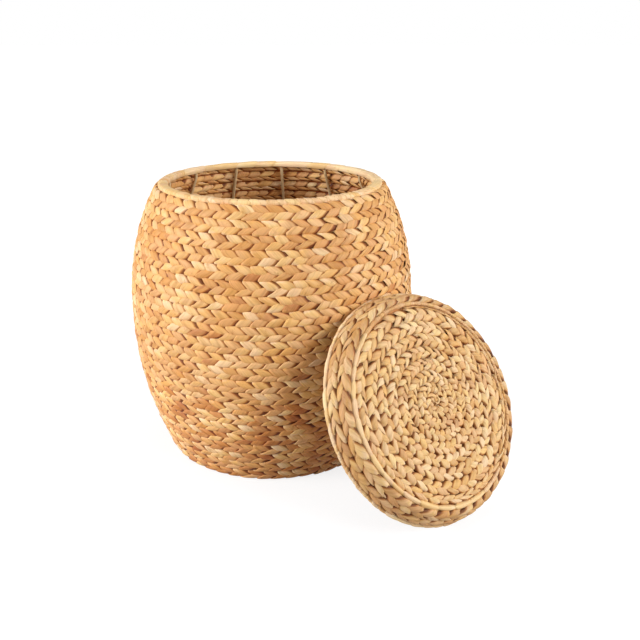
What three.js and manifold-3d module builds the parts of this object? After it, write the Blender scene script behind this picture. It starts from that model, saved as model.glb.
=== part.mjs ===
// Round laundry hamper of plaited water hyacinth leaf on a steel wire frame, with its lid
// taken off and leaned against the wall. Millimetres, +Z up. The origin is the centre of
// the base, on the floor, and -Y is the front.

import * as THREE from 'three';
import * as BufferGeometryUtils from 'three/addons/utils/BufferGeometryUtils.js';
import Module from 'manifold-3d';

const wasm = await Module();
wasm.setup();

// Driving dimensions of the basket
const basketHeight = 435;
const bellyRadius = 225;
const bellyHeight = 230;
const footRadius = 172;
const mouthRadius = 176;
const lowerFullness = 2;
const upperFullness = 2.4;
const wallBraidThickness = 13.5;
const wallRowCount = 22;
const wallRowSag = 7.5;
const baseBraidThickness = 13;
const baseBraidPitch = 20;
const rimRollWidth = 15.5;
const rimRollHeight = 10;
const topRowRise = 2;

// Driving dimensions of the wire frame
const rodCount = 13;
const rodDiameter = 5.2;
const rodPhase = 86.6;
const rimHoopDiameter = 5.5;
const baseHoopDiameter = 5;

// Driving dimensions of the lid
const lidDepth = 38.5;
const lidMouthRadius = 169;
const lidShoulderRadius = 155;
const lidSkirtFullness = 1.8;
const pipingRadius = 145;
const pipingDiameter = 8;
const pipingProud = 1;
const skirtBraidThickness = 11;
const skirtRowCount = 2;
const lidBraidThickness = 12;
const lidBraidPitch = 17.6;
const lidRollWidth = 7.5;
const lidRollHeight = 7;
const lidTopHoopDiameter = 3.5;
const lidMouthHoopDiameter = 3.5;
const lidWireDiameter = 3;

// How the lid leans: compass direction its top faces, how far that face looks up, and how
// far the lid stands to one side of the line from the basket's axis along that direction
const leanAzimuth = -47.8;
const leanElevation = 30.6;
const leanSideways = 14.6;
const leanGap = 0.5;

// Clearances
const clearance = 0.3;
const braidGap = 0.6;

// Facets: a ring of the basket has a corner at each rod and one between, and a ring of
// the lid has a corner at each end of its cross wires
const ringSides = 2 * rodCount;
const lidRingSides = 28;
const rodSides = 6;
const rodSteps = 8;
const rollPoints = 9;
const borePoints = 6;
const profileSamples = 240;

// How many facets back from the lean line the lid's mat starts
const lidMatStartFacets = 12;

const braidMaterial = new THREE.MeshStandardMaterial({ color: 0xcf9f61, roughness: 0.78, metalness: 0 });
const lidBraidMaterial = new THREE.MeshStandardMaterial({ color: 0xdbb884, roughness: 0.78, metalness: 0 });
const rollMaterial = new THREE.MeshStandardMaterial({ color: 0xdcb67c, roughness: 0.7, metalness: 0 });
const wireMaterial = new THREE.MeshStandardMaterial({ color: 0xa88b6c, roughness: 0.45, metalness: 0.1 });

// Adds one named piece to its group
function addPiece(group, name, geometry, material) {
  const piece = new THREE.Mesh(geometry, material);
  piece.name = name;
  group.add(piece);
  return piece;
}

// A closed section of radius and height points, turned round the upright axis, with a
// corner at the given compass angle
function ringGeometry(section, sides, cornerAngle) {
  const closed = [...section, section[0]].map(([radius, height]) => new THREE.Vector2(radius, height));
  const geometry = new THREE.LatheGeometry(closed, sides);
  geometry.rotateX(Math.PI / 2);
  geometry.rotateZ(THREE.MathUtils.degToRad(cornerAngle + 90));
  return geometry;
}

// Outer radius of the basket's wall at a height: a parabola below the belly and a
// fuller curve above it
function wallRadius(height) {
  const below = height < bellyHeight;
  const reach = below ? bellyHeight : basketHeight - bellyHeight;
  const drop = below ? bellyRadius - footRadius : bellyRadius - mouthRadius;
  const power = below ? lowerFullness : upperFullness;
  return bellyRadius - drop * (Math.abs(height - bellyHeight) / reach) ** power;
}

// Outer radius of the lid's skirt at a height above its mouth
function skirtRadius(height) {
  const rise = Math.max(height, 0) / lidDepth;
  return lidMouthRadius - (lidMouthRadius - lidShoulderRadius) * rise ** lidSkirtFullness;
}

// A braided wall as a curve: points at a depth inside an outer profile, measured along
// their own length, between two heights of that inner curve
class WallCurve {
  constructor(radiusAt, depth, fromHeight, toHeight) {
    this.points = [];
    const margin = 2 * depth;
    const span = toHeight - fromHeight + 2 * margin;
    for (let i = 0; i <= profileSamples; i += 1) {
      const outer = fromHeight - margin + span * (i / profileSamples);
      const slope = radiusAt(outer + 0.5) - radiusAt(outer - 0.5);
      const across = 1 / Math.hypot(1, slope);
      const radius = radiusAt(outer) - depth * across;
      const height = outer + depth * slope * across;
      if (height >= fromHeight && height <= toHeight) {
        this.points.push({ radius, height });
      }
    }
    this.lengths = [0];
    for (let i = 1; i < this.points.length; i += 1) {
      const a = this.points[i - 1];
      const b = this.points[i];
      this.lengths.push(this.lengths[i - 1] + Math.hypot(b.radius - a.radius, b.height - a.height));
    }
    this.length = this.lengths[this.lengths.length - 1];
  }

  // Point at a distance along the curve, with the curve's direction there
  at(distance) {
    const last = this.points.length - 2;
    const found = this.lengths.findIndex((length) => length > distance);
    const i = found < 0 ? last : Math.min(Math.max(found - 1, 0), last);
    const a = this.points[i];
    const b = this.points[i + 1];
    const step = this.lengths[i + 1] - this.lengths[i];
    const part = (distance - this.lengths[i]) / step;
    const along = [(b.radius - a.radius) / step, (b.height - a.height) / step];
    return {
      radius: a.radius + (b.radius - a.radius) * part,
      height: a.height + (b.height - a.height) * part,
      along,
    };
  }

  // Distance along the curve of the first point at or above a height
  distanceAt(height) {
    const i = Math.max(this.points.findIndex((point) => point.height >= height), 1);
    const a = this.points[i - 1];
    const b = this.points[i];
    const part = (height - a.height) / (b.height - a.height);
    return this.lengths[i - 1] + (this.lengths[i] - this.lengths[i - 1]) * part;
  }
}

// Section of one braided row: a flat face outside and inside, drawn in to an edge where
// it meets the next row
function rowSection(centre, width, thickness) {
  const face = 0.27 * width;
  const edge = width / 2;
  const half = thickness / 2;
  const corners = [[half, -face], [half, face], [0, edge], [-half, face], [-half, -face], [0, -edge]];
  const [alongRadius, alongHeight] = centre.along;
  return corners.map(([out, up]) => [
    centre.radius + out * alongHeight + up * alongRadius,
    centre.height - out * alongRadius + up * alongHeight,
  ]);
}

// Rows of braid that fill a wall curve edge to edge. The middle rows sit lower than even
// places by the sag, which makes the rows below them narrower and those above them wider
function braidRows(curve, count, thickness, sag) {
  const edgeAt = (part) => part * curve.length - sag * Math.sin(Math.PI * part) ** 3;
  const rows = [];
  for (let i = 0; i < count; i += 1) {
    const lower = edgeAt(i / count);
    const upper = edgeAt((i + 1) / count);
    rows.push(rowSection(curve.at((lower + upper) / 2), upper - lower - clearance, thickness));
  }
  return rows;
}

// Section of a roll of leaf bound over a hoop: an oval with a round bore, open along a
// slot that faces the given direction, where the wires come in
function rollSection(centre, width, height, bore, slot, slotDirection) {
  const turn = THREE.MathUtils.degToRad(slotDirection);
  const halfSlot = slot / 2;
  const openOuter = Math.asin(halfSlot / (Math.min(width, height) / 2));
  const openBore = Math.asin(halfSlot / (bore / 2));
  const section = [];
  for (let i = 0; i <= rollPoints; i += 1) {
    const angle = turn + openOuter + (2 * (Math.PI - openOuter) * i) / rollPoints;
    section.push([centre[0] + (width / 2) * Math.cos(angle), centre[1] + (height / 2) * Math.sin(angle)]);
  }
  for (let i = borePoints; i >= 0; i -= 1) {
    const angle = turn + openBore + (2 * (Math.PI - openBore) * i) / borePoints;
    section.push([centre[0] + (bore / 2) * Math.cos(angle), centre[1] + (bore / 2) * Math.sin(angle)]);
  }
  return section;
}

// Section of a round wire hoop
function hoopSection(centre, diameter) {
  const section = [];
  for (let i = 0; i < rodSides; i += 1) {
    const angle = (2 * Math.PI * i) / rodSides;
    section.push([centre[0] + (diameter / 2) * Math.cos(angle), centre[1] + (diameter / 2) * Math.sin(angle)]);
  }
  return section;
}

// A closed body through sections of equal count, with flat ends
function loftGeometry(sections) {
  const sides = sections[0].length;
  const positions = sections.flat().flatMap((corner) => [corner.x, corner.y, corner.z]);
  const faces = [];
  for (let i = 0; i < sections.length - 1; i += 1) {
    for (let j = 0; j < sides; j += 1) {
      const a = i * sides + j;
      const b = i * sides + ((j + 1) % sides);
      faces.push(a, a + sides, b, b, a + sides, b + sides);
    }
  }
  const end = (sections.length - 1) * sides;
  for (let j = 1; j < sides - 1; j += 1) {
    faces.push(0, j, j + 1);
    faces.push(end, end + j + 1, end + j);
  }
  const geometry = new THREE.BufferGeometry();
  geometry.setAttribute('position', new THREE.Float32BufferAttribute(positions, 3));
  geometry.setIndex(faces);
  geometry.computeVertexNormals();
  return geometry;
}

// A round wire with mitred bends, along radius and height points in one upright plane
function wireGeometry(points, diameter, compassAngle) {
  const turn = THREE.MathUtils.degToRad(compassAngle);
  const radial = new THREE.Vector3(Math.cos(turn), Math.sin(turn), 0);
  const lateral = new THREE.Vector3(-Math.sin(turn), Math.cos(turn), 0);
  const spots = points.map(([radius, height]) => new THREE.Vector2(radius, height));
  const sections = spots.map((spot, i) => {
    const before = spots[Math.max(i - 1, 0)];
    const after = spots[Math.min(i + 1, spots.length - 1)];
    const arriving = (i > 0 ? spot.clone().sub(before) : after.clone().sub(spot)).normalize();
    const leaving = (i < spots.length - 1 ? after.clone().sub(spot) : arriving.clone()).normalize();
    const along = arriving.clone().add(leaving).normalize();
    const reach = diameter / 2 / along.dot(arriving);
    const section = [];
    for (let j = 0; j < rodSides; j += 1) {
      const angle = (2 * Math.PI * j) / rodSides;
      const across = reach * Math.cos(angle);
      const corner = radial.clone().multiplyScalar(spot.x - along.y * across);
      corner.z = spot.y + along.x * across;
      section.push(corner.addScaledVector(lateral, (diameter / 2) * Math.sin(angle)));
    }
    return section;
  });
  return loftGeometry(sections);
}

// Turns a geometry into a solid that can be joined, and back
function toSolid(geometry) {
  const bare = new THREE.BufferGeometry();
  bare.setAttribute('position', geometry.getAttribute('position').clone());
  if (geometry.index) {
    bare.setIndex(geometry.index.clone());
  }
  const merged = BufferGeometryUtils.mergeVertices(bare, 1e-4);
  return new wasm.Manifold(new wasm.Mesh({
    numProp: 3,
    vertProperties: new Float32Array(merged.getAttribute('position').array),
    triVerts: new Uint32Array(merged.index.array),
  }));
}

function fromSolid(solid) {
  const mesh = solid.getMesh();
  const geometry = new THREE.BufferGeometry();
  geometry.setAttribute('position', new THREE.BufferAttribute(new Float32Array(mesh.vertProperties), 3));
  geometry.setIndex(new THREE.BufferAttribute(new Uint32Array(mesh.triVerts), 1));
  geometry.computeVertexNormals();
  return geometry;
}

// A round mat of one braid wound outwards from its folded start. Each turn lies a small
// gap from the one before it. The start and the tail thin out, so the mat is full to its
// round edge. The mat's underside is flat, and its corners face those of the ring round it.
function matGeometry(name, mat, spiralSteps, cornerAngle) {
  const { matRadius, nominalPitch, thickness, underside } = mat;
  const turns = Math.round(matRadius / nominalPitch);
  const pitch = matRadius / turns;
  const core = pitch * 0.45;
  const thinnest = pitch * 0.22;
  const outerEdge = (turn) => Math.min(pitch * turn, matRadius);
  const innerEdge = (turn) => Math.max(pitch * (turn - 1) + braidGap, core * 0.6);
  const sections = [];
  const first = Math.ceil(((core * 0.6 + thinnest) / pitch) * spiralSteps);
  const last = (turns + 1) * spiralSteps;
  for (let i = first; i <= last; i += 1) {
    const turn = i / spiralSteps;
    const inner = innerEdge(turn);
    const outer = outerEdge(turn);
    const shoulder = 0.24 * (outer - inner);
    if (outer - inner > thinnest) {
      const angle = 2 * Math.PI * turn;
      const corners = [
        [inner + shoulder, 0], [outer - shoulder, 0], [outer, thickness / 2],
        [outer - shoulder, thickness], [inner + shoulder, thickness], [inner, thickness / 2],
      ];
      sections.push(corners.map(([radius, height]) => (
        new THREE.Vector3(radius * Math.cos(angle), radius * Math.sin(angle), underside + height)
      )));
    }
  }
  const button = new THREE.CylinderGeometry(core, core, thickness, spiralSteps);
  button.rotateX(Math.PI / 2);
  button.translate(0, 0, underside + thickness / 2);
  console.log(`${name}: least gap between turns ${leastGap(sections, spiralSteps).toFixed(2)} mm`);
  const geometry = fromSolid(toSolid(loftGeometry(sections)).add(toSolid(button)));
  geometry.rotateZ(THREE.MathUtils.degToRad(cornerAngle));
  return geometry;
}

// Least distance between corners of a mat's turns that lie half a turn or more apart
function leastGap(sections, spiralSteps) {
  let least = Infinity;
  for (let i = 0; i < sections.length; i += 1) {
    for (let k = i + spiralSteps / 2; k < sections.length; k += 1) {
      for (const a of sections[i]) {
        for (const b of sections[k]) {
          least = Math.min(least, a.distanceTo(b));
        }
      }
    }
  }
  return least;
}

// How near the axis a faceted ring comes, in the middle of a facet
function insideFacet(radius, sides) {
  return radius * Math.cos(Math.PI / sides);
}

const hamper = new THREE.Group();
const basket = new THREE.Group();
const lid = new THREE.Group();
hamper.add(basket, lid);

// Wall: rows of plait from the floor to the underside of the rim
const wallTop = basketHeight - rimRollHeight + topRowRise;
const wallCurve = new WallCurve(wallRadius, wallBraidThickness / 2, 0, wallTop);
const wallRows = braidRows(wallCurve, wallRowCount, wallBraidThickness, wallRowSag);
wallRows.forEach((section, i) => {
  const name = `wall_braid_${String(i + 1).padStart(2, '0')}`;
  addPiece(basket, name, ringGeometry(section, ringSides, rodPhase), braidMaterial);
});

// Rim: a roll of flat leaf bound over the top hoop, seated against the top row's upper
// edge, or further in where the rods that stand inside that row come up
const topRow = wallRows[wallRows.length - 1];
const topRowEdge = topRow[2];
const topRowInside = topRow[3];
const rimHeight = basketHeight - rimRollHeight / 2;
const seatDrop = Math.min(Math.max(rimHeight - topRowEdge[1], 0) / (rimRollHeight / 2), 1);
const seatRadius = topRowEdge[0] - (rimRollWidth / 2) * Math.sqrt(1 - seatDrop ** 2) - clearance;
const rodLineRadius = topRowInside[0] - 2 * clearance - rodDiameter / 2;
const rimRadius = Math.min(seatRadius, rodLineRadius);
const rimCentre = [rimRadius, rimHeight];
const rimBore = rimHoopDiameter + 2 * clearance;
const rimSlot = rodDiameter + 2 * clearance;
const rimRoll = rollSection(rimCentre, rimRollWidth, rimRollHeight, rimBore, rimSlot, -90);
addPiece(basket, 'rim_binding', ringGeometry(rimRoll, ringSides, rodPhase), rollMaterial);
const rimHoop = hoopSection(rimCentre, rimHoopDiameter);
addPiece(basket, 'rim_hoop', ringGeometry(rimHoop, ringSides, rodPhase), wireMaterial);

// Base mat, inside the lowest row
const wallFootRadius = Math.min(...wallRows[0].map(([radius]) => radius));
const baseRadius = wallFootRadius - clearance / Math.cos(Math.PI / ringSides);
const baseMat = {
  matRadius: baseRadius,
  nominalPitch: baseBraidPitch,
  thickness: baseBraidThickness,
  underside: 0,
};
addPiece(basket, 'base_braid', matGeometry('base_braid', baseMat, ringSides, rodPhase), braidMaterial);

// Base hoop, in the corner between the base mat and the wall
const hoopDepth = wallBraidThickness + clearance + baseHoopDiameter / 2;
const hoopHeight = baseBraidThickness + clearance + baseHoopDiameter / 2;
const hoopCurve = new WallCurve(wallRadius, hoopDepth, 0, bellyHeight);
const baseHoopCentre = [hoopCurve.at(hoopCurve.distanceAt(hoopHeight)).radius, hoopHeight];
const baseHoop = hoopSection(baseHoopCentre, baseHoopDiameter);
addPiece(basket, 'base_hoop', ringGeometry(baseHoop, ringSides, rodPhase), wireMaterial);

// Upright rods, on the wall's inner face from the base hoop into the rim's slot
const rodDepth = wallBraidThickness + clearance + rodDiameter / 2;
const rimUnderside = basketHeight - rimRollHeight;
const rodBend = topRowInside[1];
const rodCurve = new WallCurve(wallRadius, rodDepth, 0, rodBend);
const rodFoot = rodCurve.distanceAt(hoopHeight) + (baseHoopDiameter / 2 + clearance) * 1.1;
const rodPoints = [];
for (let i = 0; i <= rodSteps; i += 1) {
  const spot = rodCurve.at(rodFoot + (rodCurve.length - rodFoot) * (i / rodSteps));
  rodPoints.push([spot.radius, spot.height]);
}
rodPoints.push([rimRadius, rimUnderside - clearance]);
rodPoints.push([rimRadius, rimHeight - rimHoopDiameter / 2 - clearance]);
for (let i = 0; i < rodCount; i += 1) {
  const name = `upright_rod_${String(i + 1).padStart(2, '0')}`;
  const compass = rodPhase - (360 * i) / rodCount;
  const rod = wireGeometry(rodPoints, rodDiameter, compass);
  addPiece(basket, name, rod, wireMaterial);
}

// Cross wires on the base mat, butted to the hoop and to each other
const baseWireHeight = baseBraidThickness + clearance + rodDiameter / 2;
const baseWireReach = insideFacet(baseHoopCentre[0] - baseHoopDiameter / 2, ringSides) - clearance;
const wireMeeting = rodDiameter / 2 + clearance;
const baseLong = [[-baseWireReach, baseWireHeight], [baseWireReach, baseWireHeight]];
const baseShort = [[wireMeeting, baseWireHeight], [baseWireReach, baseWireHeight]];
addPiece(basket, 'base_wire_long', wireGeometry(baseLong, rodDiameter, rodPhase), wireMaterial);
addPiece(basket, 'base_wire_left', wireGeometry(baseShort, rodDiameter, rodPhase + 90), wireMaterial);
addPiece(basket, 'base_wire_right', wireGeometry(baseShort, rodDiameter, rodPhase - 90), wireMaterial);

// Lid, in its own frame: mouth at height 0, top upwards, a ring corner on the lean line
const lidCorner = 0;
const mouthRollCentre = [lidMouthRadius - lidRollWidth / 2, lidRollHeight / 2];
const mouthBore = lidMouthHoopDiameter + 2 * clearance;
const lidSlot = lidWireDiameter + 2 * clearance;
const mouthSlotDirection = 155;
const mouthRoll = rollSection(
  mouthRollCentre, lidRollWidth, lidRollHeight, mouthBore, lidSlot, mouthSlotDirection,
);
addPiece(lid, 'lid_mouth_binding', ringGeometry(mouthRoll, lidRingSides, lidCorner), rollMaterial);
const mouthHoop = hoopSection(mouthRollCentre, lidMouthHoopDiameter);
addPiece(lid, 'lid_mouth_hoop', ringGeometry(mouthHoop, lidRingSides, lidCorner), wireMaterial);

// Piping: a thin roll bound over the lid's top hoop, at the corner of top and skirt
const pipingCentre = [pipingRadius, lidDepth + pipingProud - pipingDiameter / 2];
const pipingBore = lidTopHoopDiameter + 2 * clearance;
const pipingSlot = lidTopHoopDiameter / 2;
const piping = rollSection(
  pipingCentre, pipingDiameter, pipingDiameter, pipingBore, pipingSlot, -90,
);
addPiece(lid, 'lid_piping', ringGeometry(piping, lidRingSides, lidCorner), rollMaterial);
const topHoop = hoopSection(pipingCentre, lidTopHoopDiameter);
addPiece(lid, 'lid_top_hoop', ringGeometry(topHoop, lidRingSides, lidCorner), wireMaterial);

// Skirt: rows of plait from the mouth's roll up to the piping
const skirtFloor = lidRollHeight + clearance;
const skirtPath = new WallCurve(skirtRadius, skirtBraidThickness / 2, skirtFloor, lidDepth);
const pipingReach = (pipingDiameter / 2) + (skirtBraidThickness / 6);
const skirtTop = Math.max(...skirtPath.points.filter(({ radius, height }) => (
  Math.hypot(radius - pipingCentre[0], height - pipingCentre[1]) > pipingReach
)).map(({ height }) => height));
const skirtCurve = new WallCurve(skirtRadius, skirtBraidThickness / 2, skirtFloor, skirtTop);
const skirtRows = braidRows(skirtCurve, skirtRowCount, skirtBraidThickness, 0);
skirtRows.forEach((section, i) => {
  addPiece(lid, `lid_skirt_braid_${i + 1}`, ringGeometry(section, lidRingSides, lidCorner), lidBraidMaterial);
});

// Top mat, inside the piping
const lidMatRadius = pipingRadius - pipingDiameter / 2 - clearance / Math.cos(Math.PI / lidRingSides);
const lidMatUnderside = lidDepth - lidBraidThickness;
const lidMatStart = lidCorner - (360 * lidMatStartFacets) / lidRingSides;
const lidMat = {
  matRadius: lidMatRadius,
  nominalPitch: lidBraidPitch,
  thickness: lidBraidThickness,
  underside: lidMatUnderside,
};
const lidMatGeometry = matGeometry('lid_top_braid', lidMat, lidRingSides, lidMatStart);
addPiece(lid, 'lid_top_braid', lidMatGeometry, lidBraidMaterial);

// Cross wires under the top mat, bent down inside the skirt and into the mouth's slot
const lidWireHeight = lidMatUnderside - clearance - lidWireDiameter / 2;
const lidWireDepth = skirtBraidThickness + clearance + lidWireDiameter / 2;
const lidWireCurve = new WallCurve(skirtRadius, lidWireDepth, lidRollHeight, lidWireHeight);
const legTop = lidWireCurve.at(lidWireCurve.length);
const slotOut = THREE.MathUtils.degToRad(mouthSlotDirection);
const slotLine = [Math.cos(slotOut), Math.sin(slotOut)];
const offSlotLine = ({ radius, height }) => Math.abs(
  (radius - mouthRollCentre[0]) * slotLine[1] - (height - mouthRollCentre[1]) * slotLine[0],
);
const legFoot = lidWireCurve.points.reduce((best, point) => (
  offSlotLine(point) < offSlotLine(best) ? point : best
));
const hoopReach = lidMouthHoopDiameter / 2 + clearance;
const legEnd = [mouthRollCentre[0] + hoopReach * slotLine[0], mouthRollCentre[1] + hoopReach * slotLine[1]];
const leg = [[legTop.radius, lidWireHeight], [legFoot.radius, legFoot.height], legEnd];
const farLeg = leg.map(([radius, height]) => [-radius, height]).reverse();
const lidMeeting = lidWireDiameter / 2 + clearance;
const lidWires = {
  lid_wire_long: { points: [...farLeg, ...leg], compass: 0 },
  lid_wire_left: { points: [[lidMeeting, lidWireHeight], ...leg], compass: 90 },
  lid_wire_right: { points: [[lidMeeting, lidWireHeight], ...leg], compass: -90 },
};
for (const [name, wire] of Object.entries(lidWires)) {
  const geometry = wireGeometry(wire.points, lidWireDiameter, wire.compass);
  addPiece(lid, name, geometry, wireMaterial);
}

// Lean: the lid tips about its own width line, stands on the floor and slides against
// the wall until it nearly touches
const azimuth = THREE.MathUtils.degToRad(leanAzimuth);
const tip = THREE.MathUtils.degToRad(90 - leanElevation);
lid.rotation.set(0, tip, azimuth, 'ZYX');
lid.updateMatrixWorld(true);
let lowest = Infinity;
const lidCorners = [];
lid.traverse((piece) => {
  if (piece.isMesh) {
    const positions = piece.geometry.getAttribute('position');
    for (let i = 0; i < positions.count; i += 1) {
      const corner = new THREE.Vector3().fromBufferAttribute(positions, i).applyMatrix4(lid.matrixWorld);
      lidCorners.push(corner);
      lowest = Math.min(lowest, corner.z);
    }
  }
});
const outward = new THREE.Vector3(Math.cos(azimuth), Math.sin(azimuth), 0);
const sideways = new THREE.Vector3(-Math.sin(azimuth), Math.cos(azimuth), 0);
let slideOut = 0;
for (const corner of lidCorners) {
  const height = corner.z - lowest;
  const across = corner.dot(sideways) + leanSideways;
  const wall = height < basketHeight ? wallRadius(height) + leanGap : 0;
  if (Math.abs(across) < wall) {
    slideOut = Math.max(slideOut, Math.sqrt(wall ** 2 - across ** 2) - corner.dot(outward));
  }
}
lid.position.copy(outward.multiplyScalar(slideOut).addScaledVector(sideways, leanSideways));
lid.position.z = -lowest;

export default hamper;
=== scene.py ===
"""Round laundry hamper of plaited water hyacinth leaf on a wire frame, its lid leaning on it.

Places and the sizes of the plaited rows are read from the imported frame. All lengths are in metres.
"""

import math

import bpy
import numpy as np
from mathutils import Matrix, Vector


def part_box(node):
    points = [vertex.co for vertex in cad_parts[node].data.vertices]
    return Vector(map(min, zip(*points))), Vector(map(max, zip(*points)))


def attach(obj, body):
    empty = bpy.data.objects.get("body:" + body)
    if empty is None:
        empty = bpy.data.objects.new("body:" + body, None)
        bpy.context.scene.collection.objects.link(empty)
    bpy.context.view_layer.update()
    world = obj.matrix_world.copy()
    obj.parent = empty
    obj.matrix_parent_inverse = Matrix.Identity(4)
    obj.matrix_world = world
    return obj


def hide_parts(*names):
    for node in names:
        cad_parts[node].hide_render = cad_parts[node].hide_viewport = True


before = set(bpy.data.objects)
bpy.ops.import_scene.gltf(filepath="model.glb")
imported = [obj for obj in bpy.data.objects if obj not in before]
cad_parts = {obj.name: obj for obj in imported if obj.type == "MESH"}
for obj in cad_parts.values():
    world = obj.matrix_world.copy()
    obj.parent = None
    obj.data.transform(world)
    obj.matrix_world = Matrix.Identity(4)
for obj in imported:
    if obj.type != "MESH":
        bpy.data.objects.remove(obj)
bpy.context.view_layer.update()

MM = 0.001
FULL_TURN = 2 * math.pi
UPRIGHT = np.array([0.0, 0.0, 1.0])
WHITE = (1.0, 1.0, 1.0)

# What each point of a piece tells its material: tone (with a painted highlight on the folds), redness, and
# depth in the row, which the material turns into painted shade
LOOKS = ("tone", "warmth", "depth")

# Leaf spacings along a row, and in the middle of each mat
WALL_SPACING = 21.5 * MM
LID_SPACING = 21 * MM
SKIRT_SPACING = 23 * MM
BASE_MIDDLE_SPACING = 16 * MM
LID_MIDDLE_SPACING = 8.5 * MM

# How finely a plait is drawn
STRANDS = 3
STEPS_PER_PERIOD = 22
LEAF_POINTS = 12
RING_STEPS = 720
LEAST_PERIODS = 3
# A CAD ring with this many corners or more has equal ones merged before its section is measured
MANY_CORNERS = 400

# A leaf's section: the power that fills its ends out
LEAF_FULLNESS = 0.85
# How sharply the row's middle and its folds are told apart, as a power
SHARPNESS = 6
# How far past the row's middle the next leaf begins, as an angle
LEAF_CHANGE = 0.2
# How many times as much the leaves at the back tilt
BACK_TILT = 1.1
# Steps over which an open plait closes at its ends
END_STEPS = 8
# Turn of one row's plait against the row below, as an angle
ROW_TURN = 1.9

# Unevenness: of the whole plait, of a strand, and from leaf to leaf
SHARED_WANDER = 0.16
STRAND_WANDER = 0.13
STRAND_SWAY = 0.04
LENGTH_VARIETY = 0.05
HEIGHT_VARIETY = 0.1
LIFT_VARIETY = 0.06
TILT_VARIETY = 0.25
LEAST_WAVES = 6
SEED_OF = {"wander": 5, "strand": 7, "sway": 11, "tones": 13}

# Tones: share of a leaf's own tone, and middle and range of the tone that drifts along the row
OWN_TONE = 0.75
DRIFT_TONE = 0.5
DRIFT_RANGE = 0.3
# Depth, which the material paints as shade: where across a leaf the painted shade of its tucked edge starts,
# how wide that is, and how much painted shade the middle of a back leaf loses
TUCK_START = 0.25
TUCK_WIDTH = 0.4
BACK_LIGHT = 0.9

# The leaf map: stretch along the row, and shifts that keep strands, rows and wraps apart
MAP_STRETCH = 1.15
MAP_STRAND = 3.7
MAP_SEED = 0.91
MAP_WRAP = 5

# A flat sheet inside a row, seen only between leaves and coloured dark as painted shade: half thickness,
# sides, and the painted shade of its back and front faces
FILLING_HEIGHT = 1.2 * MM
FILLING_SIDES = 8
FILLING_SHADES = (0.5, 1.0)

# Mats, in turns: where the spiral starts, and how far it runs on past the last whole turn.
# Then its steps, and the power by which the leaf spacing grows outwards
MAT_START = 0.22
MAT_END = 0.93
MAT_STEPS = 4000
SPACING_GROWTH = 1.2

# Rolls: how finely they are drawn, and the shape of a wrap in shares of the step at its edge
ROLL_SIDES = 24
ROLL_STEP = 1.3 * MM
RAGGEDNESS = 0.0006
RAGGED_WAVES = (50, 20)
WRAP_FULLNESS = (0.3, 1)
WRAP_LIFT = 0.35
WRAP_SWELL = 0.7
CREASE_DEPTH = 0.7
CREASE_WIDTH = 1.1 * MM
LUMP_DEPTH = 0.25
LUMP_WAVES = (30, 12)
# Rolls: least tone of a long wrap, and the painted shade in the seams of short and long wraps: how dark and
# how wide
LONG_TONE = 0.65
SEAM_SHADES = (0.55, 0.35)
SEAM_WIDTH = 0.9 * MM

# The tucked leaf ends under the piping, with a painted shade
BED_STEPS = 240
BED_DROP = 2.5 * MM
BED_HALF_WIDTH = 7.5 * MM
BED_SHADE = 0.45

# Camera fitted to the photograph: focal length in pixels of its 640 pixel frame
PHOTO_SIZE = 640
FOCAL_PIXELS = 853
CAMERA_PLACE = (0.077, -1.330, 0.674)
CAMERA_PITCH = 19.62
SENSOR = 36

# Lamps: name, place, size and power. They face the middle of the view
LOOKED_AT = (0.05, -0.1, 0.2)
LAMPS = (
    ("key", (2.2, -1.9, 1.5), 1.3, 44),
    ("side", (2.7, -0.3, 1.3), 1.3, 34),
    ("fill", (-2.6, -1.0, 1.2), 1.4, 88),
    ("ceiling", (0.0, -0.1, 2.6), 1.6, 13),
)
WORLD_LIGHT = 0.2

# The floor: its colour to light and to the eye, and its glow to the eye near and far from the middle
FLOOR_LIT = (0.53, 0.49, 0.44)
FLOOR_SEEN = (0.86, 0.87, 0.9)
FLOOR_GLOW = {"From Min": 0.45, "From Max": 1.0, "To Min": 1.17, "To Max": 1.4}
GLOW_SHARE = 0.7
FLOOR_SIZE = 40

# How the leaves of a plait lie, tight and flat in the wall, plumper and looser in the lid.
# Lengths: half_height of a leaf, overlap by which its edges tilt, drift over which it wanders,
# spread and proud beyond the CAD row's width and thickness, closing of the filling beyond the row,
# and shift up the wall. Shares of a leaf's length or height: reach, tip, edge, heel and dive.
# pointing is which way the leaves lie, uneven multiplies the unevenness above, and rarity, shade,
# fold_light and glint are for their colour: rarity makes red leaves rarer, shade is the painted
# shade of tucked edges, fold_light how much painted shade the folds lose, glint a painted highlight.
WALL_LOOK = {
    "half_height": 1.6 * MM, "reach": 0.7, "overlap": 1.4 * MM, "pointing": 1, "flatness": 3.2,
    "crossing": 0.27, "uneven": 1, "drift": 60 * MM, "tip": 0.2, "edge": 0.26, "dive": 0.1,
    "heel": 0.4, "spread": 4 * MM, "proud": 0, "closing": 0.3 * MM, "rarity": 3,
    "shade": 0.86, "shift": 0, "fold_light": 0.85, "glint": 0.5,
}
LID_LOOK = {
    "half_height": 2.7 * MM, "reach": 0.67, "overlap": 1.8 * MM, "pointing": -1, "flatness": 2.6,
    "crossing": 0.3, "uneven": 1.5, "drift": 50 * MM, "tip": 0.27, "edge": 0.24, "dive": 0.25,
    "heel": 0.44, "spread": 2.4 * MM, "proud": 2 * MM, "closing": 4 * MM, "rarity": 3,
    "shade": 0.74, "shift": 0, "fold_light": 0.75, "glint": 0.5,
}
TOP_ROW_LOOK = dict(WALL_LOOK, spread=4.5 * MM, shift=0.8 * MM)
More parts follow.
